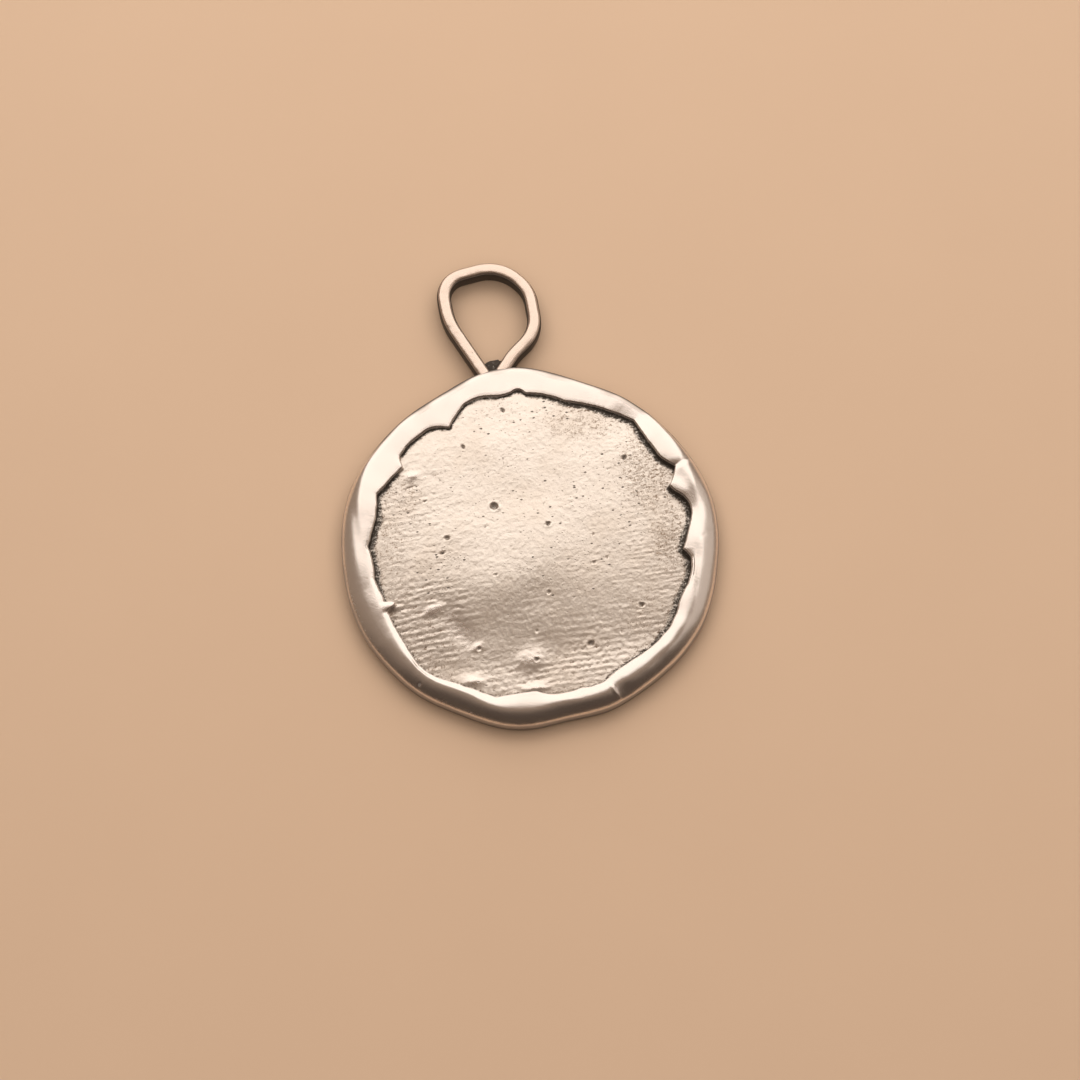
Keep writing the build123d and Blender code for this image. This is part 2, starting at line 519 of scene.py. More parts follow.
class Outputs:
    """The outputs of a node, by name or number."""

    def __init__(self, tree: "Tree", node: bpy.types.Node) -> None:
        """Wrap a node of a tree."""
        self.tree = tree
        self.outputs = node.outputs

    def __getitem__(self, output: str | int) -> Val:
        """One output, ready for an expression."""
        return Val(self.tree, self.outputs[output])


class Tree:
    """A node tree that is emptied and then built up by expressions."""

    def __init__(self, node_tree: bpy.types.NodeTree) -> None:
        """Wrap and empty a tree.

        Args:
            node_tree: the tree of a material or world.
        """
        self.nodes = node_tree.nodes
        self.links = node_tree.links
        self.nodes.clear()

    def node(self, kind: str, settings: dict | None = None, inputs: dict | None = None) -> Outputs:
        """Add a node.

        Args:
            kind: the node's type.
            settings: its properties, set first.
            inputs: values or links of its sockets, by name or number.

        Returns:
            Its outputs.
        """
        made = self.nodes.new(kind)
        for name, value in (settings or {}).items():
            setattr(made, name, value)
        for name, value in (inputs or {}).items():
            if isinstance(value, Val):
                self.links.new(value.socket, made.inputs[name])
            else:
                made.inputs[name].default_value = value
        return Outputs(self, made)

    def mix(self, factor: Val, first: "Val | tuple", second: "Val | tuple") -> Val:
        """Mix two colours.

        Args:
            factor: share of the second.
            first: colour at 0.
            second: colour at 1.

        Returns:
            The mixed colour.
        """
        made = self.nodes.new("ShaderNodeMix")
        made.data_type = "RGBA"
        sockets = [socket for socket in made.inputs if socket.type == "RGBA"]
        for socket, value in zip(sockets, (first, second)):
            if isinstance(value, Val):
                self.links.new(value.socket, socket)
            else:
                socket.default_value = (*value, 1.0)
        self.links.new(factor.socket, made.inputs[0])
        return Val(self, next(socket for socket in made.outputs if socket.type == "RGBA"))

    def attribute(self, name: str) -> Val:
        """The piece's own attribute of this name, as a number."""
        return self.node("ShaderNodeAttribute", {"attribute_name": name})["Fac"]

    def stretch(self, place: Val, scale: tuple[float, float, float], turn: float = 0.0) -> Val:
        """Turn coordinates about Z by an angle in radians, then scale them.

        Args:
            place: coordinates.
            scale: factors, below one where a pattern is drawn out.
            turn: the angle.

        Returns:
            The new coordinates.
        """
        turned = {"Vector": place, "Rotation": (0.0, 0.0, turn)}
        turned = self.node("ShaderNodeMapping", {"vector_type": "POINT"}, turned)["Vector"]
        factors = {0: turned, 1: scale}
        return self.node("ShaderNodeVectorMath", {"operation": "MULTIPLY"}, factors)["Vector"]

    def noise(self, place: Val, size_mm: float, detail: float = 2.0, rough: float = 0.5) -> Val:
        """Noise of a real size, about 0.5.

        Args:
            place: coordinates in metres.
            size_mm: size of its lumps.
            detail: octaves.
            rough: weight of the finer octaves.

        Returns:
            The noise.
        """
        inputs = {"Vector": place, "Scale": 1.0 / (size_mm * METRES)}
        inputs |= {"Detail": detail, "Roughness": rough}
        return self.node("ShaderNodeTexNoise", {"noise_dimensions": "3D"}, inputs)[0]

    def specks(self, place: Val, cell_mm: float, size: float, chance: Val) -> Val:
        """Round specks in some cells of a Voronoi pattern.

        Args:
            place: coordinates in metres.
            cell_mm: size of the cells.
            size: radius of a speck in cells.
            chance: share of the cells that hold one.

        Returns:
            1 in the specks.
        """
        inputs = {"Vector": place, "Scale": 1.0 / (cell_mm * METRES), "Randomness": 1.0}
        cells = self.node("ShaderNodeTexVoronoi", {"feature": "F1"}, inputs)
        draw = self.node("ShaderNodeSeparateColor", {}, {"Color": cells["Color"]})["Red"]
        speck = cells["Distance"].ramp(size * 0.5, size, 1.0, 0.0)
        return speck * (chance - draw).ramp(0.0, 0.08)


@dataclass(frozen=True)
class Finish:
    """A finish, which works out what its shader gets and makes its material."""

    name: str

    def inputs(self, tree: Tree, place: Val) -> dict[str, "Val | tuple | float"]:
        """Work out the inputs of the shader.

        Args:
            tree: the material's tree.
            place: the piece's own coordinates, in metres.

        Returns:
            The inputs by the names of their sockets.
        """
        raise NotImplementedError

    def make(self) -> bpy.types.Material:
        """Build the material.

        Returns:
            The material.
        """
        material = bpy.data.materials.new(self.name)
        material.use_nodes = True
        tree = Tree(material.node_tree)
        place = tree.node("ShaderNodeTexCoord")["Object"]
        shader = tree.node("ShaderNodeBsdfPrincipled", {}, self.inputs(tree, place))["BSDF"]
        tree.node("ShaderNodeOutputMaterial", {}, {"Surface": shader})
        return material


@dataclass(frozen=True)
class CastSilver(Finish):
    """Cast silver, bright where it was rubbed and dark with oxide where it wasn't.

    It reads three attributes of its piece: oxide_and_shade and polish, from 0 to 1, and specks,
    how thickly tiny casting pits are strewn. The first is oxide in the hollows, and painted shade
    on the disc's low side and underside, the bail's sides and the solder, drawn in the same oxide
    colours. Sheen is how far clean silver mirrors as a metal, and thin and thick oxide each take
    some of that away.
    """

    polished: tuple[float, float, float] = (0.86, 0.79, 0.755)
    matt: tuple[float, float, float] = (0.87, 0.80, 0.74)
    dull: tuple[float, float, float] = (0.76, 0.655, 0.560)
    thin_oxide: tuple[float, float, float] = (0.31, 0.215, 0.150)
    oxide_and_shade: tuple[float, float, float] = (0.066, 0.053, 0.043)
    satin_roughness: float = 0.31
    satin_spread: float = 0.10
    polished_roughness: float = 0.24
    brushed_spread: float = 0.06
    oxide_roughness: float = 0.55
    gloss: float = 0.25
    sheen: float = 0.92
    polished_sheen: float = 0.95
    thin_oxide_loss: float = 0.30
    thick_oxide_loss: float = 0.50
    grain_mm: float = 0.19
    grain_depth_mm: float = 0.0165
    wrinkle_share: float = 0.2
    peel_mm: float = 0.42
    peel_depth_mm: float = 0.0130
    brush_mm: float = 0.11
    brush_depth_mm: float = 0.0030
    brush_turn: float = 0.6
    cloud_mm: float = 3.1
    tarnish: float = 0.30
    fleck_mm: float = 0.11
    fleck_strength: float = 1.45
    speck_mm: float = 0.31
    speck_size: float = 0.26
    speck_darkness: float = 0.85
    speck_depth_mm: float = 0.02
    pore_mm: float = 0.16
    pore_size: float = 0.30
    pore_share: float = 0.6
    pore_crowd: float = 1.3

    def specks(self, tree: Tree, place: Val) -> Val:
        """Tiny casting pits and finer pores, both drawn out a little along X.

        Args:
            tree: the material's tree.
            place: the piece's own coordinates.

        Returns:
            1 in the pits, less in the pores.
        """
        crowd = tree.attribute("specks")
        drawn_out = tree.stretch(place, (0.6, 1.0, 1.0))
        pits = tree.specks(drawn_out, self.speck_mm, self.speck_size, crowd)
        pores = tree.specks(drawn_out, self.pore_mm, self.pore_size, crowd * self.pore_crowd)
        return pits.at_least(pores * self.pore_share)

    def inputs(self, tree: Tree, place: Val) -> dict[str, "Val | tuple | float"]:
        """Work out the inputs: silver under broken oxide, with its roughness and fine relief.

        Args:
            tree: the material's tree.
            place: the piece's own coordinates, in metres.

        Returns:
            The inputs by the names of their sockets.
        """
        polish, oxide_and_shade = tree.attribute("polish"), tree.attribute("oxide_and_shade")
        unpolished = 1.0 - polish
        grain = tree.noise(place, self.grain_mm, 3.0, 0.6)
        peel = tree.noise(place, self.peel_mm, 2.0, 0.5)
        clouds = tree.noise(place, self.cloud_mm, 3.0, 0.55)
        brushed = tree.stretch(place, (0.25, 1.0, 1.0), self.brush_turn)
        brush = tree.noise(brushed, self.brush_mm, 2.0, 0.6)
        wrinkle = tree.noise(tree.stretch(place, (0.55, 1.0, 1.0)), self.grain_mm, 2.0, 0.6)
        flecks = tree.noise(place, self.fleck_mm, 2.0, 0.6)
        specks = self.specks(tree, place)

        # The dark oxide layer here also paints shade where the attribute carries it: on the disc's
        # low side and underside, the bail's sides and the solder.
        broken = (flecks + wrinkle - 1.0) * self.fleck_strength * oxide_and_shade.ramp(0.02, 0.30)
        dark = (oxide_and_shade + broken * unpolished).ramp(0.28, 0.88).at_least(specks * self.speck_darkness)
        tarnish = clouds.ramp(0.42, 0.72) * self.tarnish * (1.0 - polish * 0.7)
        metal = tree.mix(tarnish, tree.mix(polish, self.matt, self.polished), self.dull)
        thick = oxide_and_shade.ramp(0.38, 0.72).at_least(specks)
        layer = tree.mix(thick, self.thin_oxide, self.oxide_and_shade)
        clean = self.sheen + (self.polished_sheen - self.sheen) * polish
        metallic = (1.0 - dark * (thick * self.thick_oxide_loss + self.thin_oxide_loss)) * clean

        satin = (clouds - 0.5) * self.satin_spread + self.satin_roughness
        rough = satin + (self.polished_roughness - satin) * polish
        rough = rough + (brush - 0.5) * self.brushed_spread
        rough = rough + (self.oxide_roughness - rough) * dark

        relief = grain * (self.grain_depth_mm * METRES) * (unpolished + 0.15)
        relief = relief + peel * (self.peel_depth_mm * METRES) * (unpolished + 0.20)
        relief = relief + wrinkle * (self.wrinkle_share * self.grain_depth_mm * METRES) * unpolished
        relief = relief + brush * (self.brush_depth_mm * METRES) * polish
        relief = relief - specks * (self.speck_depth_mm * METRES)
        bump = tree.node("ShaderNodeBump", {}, {"Height": relief, "Distance": 1.0})
        return {
            "Base Color": tree.mix(dark, metal, layer),
            "Metallic": metallic,
            "Roughness": rough,
            "Specular IOR Level": self.gloss,
            "Normal": bump["Normal"],
        }


@dataclass(frozen=True)
class PaleFloor(Finish):
    """The studio's plain floor, a pale warm sand colour."""

    name: str = "pale_floor"
    colour: tuple[float, float, float] = (0.67, 0.475, 0.335)
    paler: tuple[float, float, float] = (0.695, 0.495, 0.35)
    cloud_mm: float = 14.0
    roughness: float = 0.65

    def inputs(self, tree: Tree, place: Val) -> dict[str, "Val | tuple | float"]:
        """Work out the inputs: two near colours in soft clouds.

        Args:
            tree: the material's tree.
            place: the floor's own coordinates, in metres.

        Returns:
            The inputs by the names of their sockets.
        """
        colour = tree.mix(tree.noise(place, self.cloud_mm, 3.0), self.colour, self.paler)
        return {"Base Color": colour, "Roughness": self.roughness}


def add_object(name: str, data: bpy.types.ID) -> bpy.types.Object:
    """Put an object into the scene.

    Args:
        name: its name.
        data: its mesh, camera or light.

    Returns:
        The object.
    """
    added = bpy.data.objects.new(name, data)
    bpy.context.scene.collection.objects.link(added)
    return added


def make_piece(
    name: str,
    points: Array,
    faces: list[Array],
    layers: dict[str, float | Array],
    finish: Finish,
) -> bpy.types.Object:
    """Make a mesh object that stands for part of the casting.

    Args:
        name: the piece's name.
        points: vertices in mm, one row each.
        faces: arrays of vertex numbers, each with one face in a row.
        layers: attributes, each a value for every vertex or one for all.
        finish: its finish.

    Returns:
        The object, riding on the root.
    """
    mesh = bpy.data.meshes.new(name)
    corners = np.concatenate([rows.ravel() for rows in faces])
    sizes = np.concatenate([np.full(len(rows), rows.shape[1]) for rows in faces])
    mesh.vertices.add(len(points))
    mesh.vertices.foreach_set("co", (points * METRES).astype(np.float32).ravel())
    mesh.loops.add(len(corners))
    mesh.loops.foreach_set("vertex_index", corners.astype(np.int32))
    mesh.polygons.add(len(sizes))
    mesh.polygons.foreach_set("loop_start", (np.cumsum(sizes) - sizes).astype(np.int32))
    mesh.polygons.foreach_set("use_smooth", np.ones(len(sizes), dtype=bool))
    mesh.update(calc_edges=True)
    mesh.validate()
    for layer, values in layers.items():
        stored = mesh.attributes.new(layer, "FLOAT", "POINT")
        stored.data.foreach_set("value", np.broadcast_to(values, len(points)).astype(np.float32))
    mesh.materials.append(finish.make())
    piece = add_object(name, mesh)
    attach(piece, "root")
    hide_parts(NODE)
    return piece


def ring_quads(first: Array, second: Array) -> Array:
    """Quads between closed rings of as many vertices each, one quad in a row.

    Args:
        first: vertex numbers of rings.
        second: vertex numbers of the rings next to them.

    Returns:
        The quads, whose outside is on the left of the step from first to second.
    """
    after_first, after_second = np.roll(first, -1, axis=-1), np.roll(second, -1, axis=-1)
    return np.stack([first, second, after_second, after_first], axis=-1).reshape(-1, 4)


def fan(ring: Array, middle: int) -> Array:
    """Triangles that close a ring of vertices round one in its middle, one in a row."""
    return np.stack([ring, np.full_like(ring, middle), np.roll(ring, -1)], axis=-1)


class Skin(NamedTuple):
    """Points of a surface and what its finish reads at them."""

    x: Array
    y: Array
    z: Array
    oxide_and_shade: Array
    polish: Array

    def flat(self) -> Array:
        """The five values as rows of one array."""
        return np.stack([values.ravel() for values in self])


class RimLines(NamedTuple):
    """Lines round the rim.

    They are the radii of its inner edge, outer edge and crest, the reach of its brow, the height
    of its crest, and how far its crown rises to that.
    """

    edge: Array
    outer: Array
    crest_radius: Array
    reach: Array
    crest: Array
    crown_rise: Array


class Band(NamedTuple):
    """A band of rings of the rim's section, with what the finish reads on it."""

    radius: Array
    height: Array
    oxide_and_shade: float | Array
    polish: float | Array


@dataclass
class Disc:
    """The casting's disc: pressed face, lobed rim, rounded side and flat back in one skin.

    Its fields are first lengths and the powers of its curves, then what its finish reads, then
    the noises that roughen both. The hump's strength is its rise.
    """

    radius: float = 14.38
    rim_width: float = 2.1
    rim_height: float = 2.17
    rim_wander: float = 0.05
    top_drop: float = 0.24
    narrow_drop: float = 0.14
    side_height: float = 1.15
    side_tuck: float = 0.35
    wall_lean: float = 0.05
    foot_round: float = 0.09
    brow_drop: float = 0.20
    brow_reach: float = 0.17
    brow_power: float = 2.3
    crown_rise: float = 0.05
    slope_power: float = 1.7
    far_slope_power: float = 2.8
    far_side_deg: float = 82.0
    face_height: float = 1.35
    face_sink: float = 0.08
    face_dome: float = 0.40
    face_tilt: float = 0.022
    hump: Patch = Patch(-0.8, -2.6, 8.5, 5.0, 0.165)
    upturn_rise: float = 0.24
    upturn_from: float = -8.3
    upturn_to: float = -12.5
    rib_rise: float = 0.0145
    rib_evenness: float = 0.85
    rib_wholeness: float = 0.58
    cells: int = 236
    back_rings: tuple[float, ...] = (0.96, 0.80, 0.55, 0.28)

    core_share: float = 0.60
    core_width: float = 0.10
    core_reach: float = 0.42
    least_seam: float = 0.42
    climbing_seam: float = 0.44
    valley_oxide: float = 0.56
    # Low on the side the dark layer is partly oxide and partly painted shade, full below dark_below
    # and higher and stronger on the far side; under the side it is painted shade alone.
    side_oxide_and_shade: float = 0.62
    far_side_oxide_and_shade: float = 0.16
    painted_under_shade: float = 0.72
    dark_below: float = 1.33
    far_dark_rise: float = 0.40
    back_oxide: float = 0.10
    back_polish: float = 0.45
    face_polish: float = 0.08
    satin_slope: float = 0.32
    rubbed_polish: float = 0.85
    stray_specks: float = 0.05

    edge_fray: tuple[Noise, ...] = (Noise(0.7, 44, 0.030), Noise(0.25, 45, 0.014))
    side_lumps: Noise = Noise(2.0, 41, 0.012)
    crest_drift: Noise = Noise(2.6, 42, 0.05)
    crest_waves: Noise = Noise(3.4, 43)
    crown_waves: Noise = Noise(1.5, 47, 0.018)
    rib_wander: tuple[Noise, ...] = (Noise(4.0, 21, 0.18), Noise(0.8, 22, 0.06))
    rib_breaks: Noise = Noise(0.19, 23, 0.85, stretch=1.5)
    rib_crumbs: Noise = Noise(0.19, 24, 0.6, stretch=1.3)
    face_waves: tuple[Noise, ...] = (Noise(5.2, 11, 0.035), Noise(2.1, 12, 0.014))
    face_grain: tuple[Noise, ...] = (Noise(0.28, 31, 0.006), Noise(0.17, 32, 0.005))
    oxide_fray: Noise = Noise(0.5, 51, 0.4)
    climb_fray: Noise = Noise(0.6, 46, 0.25)
    dark_edge: Noise = Noise(1.6, 48, 0.04)
    speck_drift: Noise = Noise(2.4, 61, 0.04)

    def __post_init__(self) -> None:
        """Set up the curves round the disc."""
        self.outline = ClosedCurve(OUTLINE)
        self.lobes = LobedEdge(LOBES)

    def edge_radius(self, turn: Array) -> Array:
        """Radius of the rim's inner edge, frayed a little, at angles in radians.

        Args:
            turn: the angles.

        Returns:
            The radii.
        """
        x, y = self.radius * np.cos(turn), self.radius * np.sin(turn)
        return self.radius - self.rim_width * self.lobes(turn) + pile(self.edge_fray, x, y)

    def ribs(self, x: Array, y: Array) -> tuple[Array, Array]:
        """Ribs along X: in each patch a cosine of Y, whose phase wanders and which breaks up.

        Args:
            x: across.
            y: up.

        Returns:
            Their height and how much oxide lies between them.
        """
        wander = pile(self.rib_wander, x, y)
        broken = np.clip(self.rib_wholeness + self.rib_breaks(x, y), 0.0, 1.3)
        crumbs = self.rib_crumbs(x, y)
        rise, valleys = np.zeros_like(x), np.zeros_like(x)
        for patch in RIB_PATCHES:
            strength = patch.spread(x, y, 1.25, 0.45)
            ribs = np.cos(2.0 * np.pi * (y + wander) / patch.pitch)
            wave = self.rib_evenness * ribs * broken + crumbs
            rise += strength * wave
            valleys += strength * smooth_step(-0.15, -0.95, wave)
        return self.rib_rise * rise, np.clip(valleys, 0.0, 1.0)

    def face_height_at(self, x: Array, y: Array) -> Array:
        """Height of the face: a low dome with a broad bell, waves, grain and an upturned bottom.

        Args:
            x: across.
            y: up.

        Returns:
            Heights above the back.
        """
        share = np.hypot(x, y) / (self.radius - self.rim_width / 2)
        dome = self.face_height + self.face_dome * (1.0 - share**2)
        across, up = (x - self.hump.x) / self.hump.half_x, (y - self.hump.y) / self.hump.half_y
        hump = self.hump.strength * np.exp(-(across**2) - up**2)
        upturn = self.upturn_rise * smooth_step(self.upturn_from, self.upturn_to, y)
        tilt = self.face_tilt * y
        waves, grain = pile(self.face_waves, x, y), pile(self.face_grain, x, y)
        return dome - self.face_sink + waves + hump + upturn + tilt + grain

    def seam_oxide(self, turn: Array, inwards: Array, x: Array, y: Array) -> Array:
        """Oxide of the seam: a dark bell at the wall's foot, and a tail that falls exponentially.

        Args:
            turn: angles in radians.
            inwards: distance from the wall's foot.
            x: across.
            y: up.

        Returns:
            The oxide.
        """
        reach = read_around(OXIDE_REACH, turn)
        ragged = np.clip(reach * (1.0 + self.oxide_fray(x, y)), 0.02, None)
        inwards = np.clip(inwards, 0.0, None)
        core = np.exp(-((inwards / (self.core_width + self.core_reach * ragged)) ** 2))
        seam = self.core_share * core + (1.0 - self.core_share) * np.exp(-inwards / ragged)
        strength = self.least_seam + self.climbing_seam * read_around(OXIDE_CLIMB, turn)
        return strength * (seam * self.shade(turn))

    def shade(self, turn: Array) -> Array:
        """Whether the seam holds oxide at angles in radians: 1 where it does and 0 at the folds."""
        return smooth_step(0.03, 0.15, read_around(OXIDE_REACH, turn))

    def face(self) -> Skin:
        """The face on a square grid, laid out by the concentric map from square to disc.

        A point's share of the way out is the larger of its two grid coordinates, and its angle
        is a quarter turn times their ratio. Towards the edge the circles take on the lobes of
        the wall's foot.

        Returns:
            The face.
        """
        line = np.linspace(-1.0, 1.0, self.cells + 1)
        a, b = np.meshgrid(line, line)
        flat = np.abs(a) >= np.abs(b)
        safe_a, safe_b = np.where(a == 0.0, 1.0, a), np.where(b == 0.0, 1.0, b)
        angle = np.where(flat, np.pi / 4 * b / safe_a, np.pi / 2 - np.pi / 4 * a / safe_b)
        signed = np.where(flat, a, b)
        share, turn = np.abs(signed), angle + np.where(signed < 0.0, np.pi, 0.0)
        circle = self.radius - 1.1 * self.rim_width
        foot = self.edge_radius(turn) - self.wall_lean - self.foot_round
        far = share**0.92 * (circle + (foot - circle) * share**8)
        x, y = far * np.cos(turn), far * np.sin(turn)
        rib_rise, valleys = self.ribs(x, y)
        worn = 1.0 - 0.8 * touch_by_marks(x, y).rub
        seam = self.seam_oxide(turn, foot - far, x, y)
        oxide_and_shade = np.maximum(seam, self.valley_oxide * valleys * worn)
        for stain in STAINS:
            oxide_and_shade = np.maximum(oxide_and_shade, stain.spread(x, y, 1.4, 0.3))
        height = self.face_height_at(x, y) + rib_rise * worn
        return Skin(x, y, height, oxide_and_shade, np.full_like(x, self.face_polish))

    def rim_lines(self, turn: Array) -> RimLines:
        """Work out the rim's lines: its crest wanders, and is lower by the bail and where narrow.

        Args:
            turn: angle of each column.

        Returns:
            The lines.
        """
        x, y = np.cos(turn) * self.radius, np.sin(turn) * self.radius
        edge = self.edge_radius(turn)
        outer = self.outline(turn) * self.radius + self.side_lumps(x, y)
        shifts = np.radians(np.linspace(-9.0, 9.0, 13))
        even = self.rim_width * np.mean([self.lobes(turn + shift) for shift in shifts], axis=0)
        outward = 1.0 - read_around(CREST, turn, 6.0) + self.crest_drift(x, y)
        reach = self.brow_reach * (1.0 - 0.3 * np.sin(turn))
        crest_radius = np.maximum(outer - outward * even, edge + reach * 1.4)
        narrow = smooth_step(1.9, 1.2, outer - edge)
        wander = self.rim_wander * (1.0 + self.crest_waves(x, y)) / 2.0
        low_top = self.top_drop * smooth_step(0.3, 0.9, np.sin(turn))
        crest = self.rim_height - self.narrow_drop * narrow - wander - low_top
        crown_rise = self.crown_rise * (1.0 - 0.8 * np.sin(turn))
        return RimLines(edge, outer, crest_radius, reach, crest, crown_rise)

    def rim(self, turn: Array, foot_height: Array) -> Skin:
        """The rim's section at every angle: foot, wall, brow, crown, slope and rounded side.

        The foot and the side below its widest line are quarters of ellipses. The brow is a
        quarter of a superellipse, and so is the slope, whose power is higher on the side of the
        bail. The crown between them rises to the crest as a sine, most at the bottom of the
        disc. Oxide climbs the wall, partly patina and partly painted shade of the recess. Low on
        the side the dark is partly oxide and partly painted shade, and under the side it is painted
        shade; the slope above the dark is satin.

        Args:
            turn: angle of each column.
            foot_height: height of the face at each column.

        Returns:
            One row for each ring and one column for each angle.
        """
        line = self.rim_lines(turn)
        brow_top = line.crest - line.crown_rise
        brow_foot = brow_top - self.brow_drop
        wall_foot = foot_height + self.foot_round
        far_side = smooth_step(0.30, 0.65, np.cos(turn - math.radians(self.far_side_deg)))
        slope_power = self.slope_power + (self.far_slope_power - self.slope_power) * far_side

        quarter = np.pi / 2
        foot = np.linspace(0.33, 1.0, 3)[:, None] * quarter
        climb = np.linspace(0.0, 1.0, 6)[1:-1, None]
        brow = np.linspace(0.0, 1.0, 8)[:-1, None]
        crown = np.linspace(0.0, 1.0, 6)[:-1, None]
        slope = np.linspace(0.0, 1.0, 15)[:, None] * quarter
        under = np.linspace(0.0, 1.0, 6)[1:, None] * quarter
        brow_out = 1.0 - np.cos(brow * quarter) ** (2 / self.brow_power)
        slope_out = np.sin(slope) ** (2 / slope_power)
        slope_up = np.clip(np.cos(slope), 0.0, 1.0) ** (2 / slope_power)
        slope_height = self.side_height + (line.crest - self.side_height) * slope_up

        x, y = np.cos(turn) * self.radius, np.sin(turn) * self.radius
        shade = self.shade(turn)
        climbed = read_around(OXIDE_CLIMB, turn) + self.climb_fray(x, y)
        # Painted shade, partly oxide, low on the side: full below dark_below, higher and stronger
        # on the far side.
        dark_below = self.dark_below + self.far_dark_rise * far_side + self.dark_edge(x, y)
        above = slope_height - dark_below
        side_oxide_and_shade = self.side_oxide_and_shade + self.far_side_oxide_and_shade * far_side
        satin = smooth_step(line.crest - 0.10, line.crest - 0.55, slope_height)
        satin = satin * smooth_step(0.0, 0.20, above)
        bands = [
            Band(
                line.edge - self.wall_lean - self.foot_round * (1.0 - np.sin(foot)),
                foot_height + self.foot_round * (1.0 - np.cos(foot)),
                shade,
                0.0,
            ),
            # The wall: patina at its foot and, where it climbs, partly painted shade of the recess.
            Band(
                line.edge - self.wall_lean * (1.0 - climb),
                wall_foot + (brow_foot - wall_foot) * climb,
                shade * smooth_step(0.35, -0.25, climb - climbed),
                0.0,
            ),
            Band(
                line.edge + line.reach * brow_out,
                brow_foot + self.brow_drop * np.sin(brow * quarter) ** (2 / self.brow_power),
                shade * smooth_step(0.30, 0.0, brow) * smooth_step(0.5, 0.9, climbed),
                smooth_step(0.0, 0.6, brow),
            ),
            Band(
                line.edge + line.reach + (line.crest_radius - line.edge - line.reach) * crown,
                brow_top + line.crown_rise * np.sin(crown * quarter),
                0.0,
                1.0,
            ),
            Band(
                line.crest_radius + (line.outer - line.crest_radius) * slope_out,
                slope_height,
                side_oxide_and_shade * smooth_step(0.30, 0.0, above),
                1.0 - self.satin_slope * satin,
            ),
            # Under the side: painted shade.
            Band(
                line.outer - self.side_tuck * (1.0 - np.cos(under)),
                self.side_height * (1.0 - np.sin(under)),
                self.painted_under_shade,
                1.0,
            ),
        ]
        whole = zip(*(np.broadcast_arrays(*band) for band in bands))
        radius, height, oxide_and_shade, polish = (np.concatenate(rows) for rows in whole)
        x, y = radius * np.cos(turn), radius * np.sin(turn)
        on_crown = smooth_step(self.side_height, line.crest, height)
        return Skin(x, y, height + self.crown_waves(x, y) * on_crown, oxide_and_shade, polish)

    def back(self, turn: Array, radius: Array) -> Skin:
        """The flat back: rings that shrink to a point in the middle, left plain.

        Args:
            turn: angle of each column.
            radius: radius of the back's edge at each column.

        Returns:
            The rings, outermost first.
        """
        shrink = np.array(self.back_rings)[:, None] * radius
        x, y = shrink * np.cos(turn), shrink * np.sin(turn)
        oxide_and_shade, polish = np.full_like(x, self.back_oxide), np.full_like(x, self.back_polish)
        return Skin(x, y, np.zeros_like(x), oxide_and_shade, polish)

    def speck_chance(self, x: Array, y: Array) -> Array:
        """How thickly the tiny pits are strewn: a little everywhere and more in the patches.

        Args:
            x: across.
            y: up.

        Returns:
            Share of the pattern's cells that hold a pit.
        """
        chance = self.stray_specks + self.speck_drift(x, y)
        for patch in SPECK_PATCHES:
            chance = np.maximum(chance, patch.spread(x, y, 1.3, 0.3))
        return chance

    def build(self, finish: CastSilver) -> bpy.types.Object:
        """Join face, rim and back in one closed skin and press the pits and marks into it.

        Args:
            finish: its finish.

        Returns:
            The piece.
        """
        side = self.cells + 1
        grid = np.arange(side * side).reshape(side, side)
        border = np.concatenate([grid[:-1, -1], grid[-1, :0:-1], grid[:0:-1, 0], grid[0, :-1]])
        face = self.face()
        turn = np.arctan2(face.y, face.x).ravel()[border]
        rim = self.rim(turn, face.z.ravel()[border])
        back = self.back(turn, np.hypot(rim.x[-1], rim.y[-1]))
        middle = np.array([[0.0], [0.0], [0.0], [self.back_oxide], [self.back_polish]])
        x, y, z, oxide_and_shade, polish = np.concatenate(
            [face.flat(), rim.flat(), back.flat(), middle], axis=1
        )
        touch = touch_by_marks(x, y)
        on_top = smooth_step(0.6 * self.side_height, 1.3 * self.side_height, z)
        z = np.minimum(z + touch.rise * on_top, self.rim_height)
        on_face = (np.arange(len(x)) < face.x.size).astype(float)
        layers = {
            "oxide_and_shade": np.maximum(oxide_and_shade, touch.oxide_and_shade * on_top),
            "polish": np.clip(polish + self.rubbed_polish * touch.rub * on_top, 0.0, 1.0),
            "specks": self.speck_chance(x, y) * (0.1 + 0.9 * on_face),
        }
        rings = face.x.size + np.arange(rim.x.size).reshape(rim.x.shape)
        backs = face.x.size + rim.x.size + np.arange(back.x.size).reshape(back.x.shape)
        chain = np.concatenate([border[None, :], rings, backs])
        cells = np.stack([grid[:-1, :-1], grid[:-1, 1:], grid[1:, 1:], grid[1:, :-1]], axis=-1)
        end = fan(backs[-1], len(x) - 1)
        faces = [cells.reshape(-1, 4), ring_quads(chain[:-1], chain[1:]), end]
        return make_piece("disc", np.stack([x, y, z], axis=-1), faces, layers, finish)


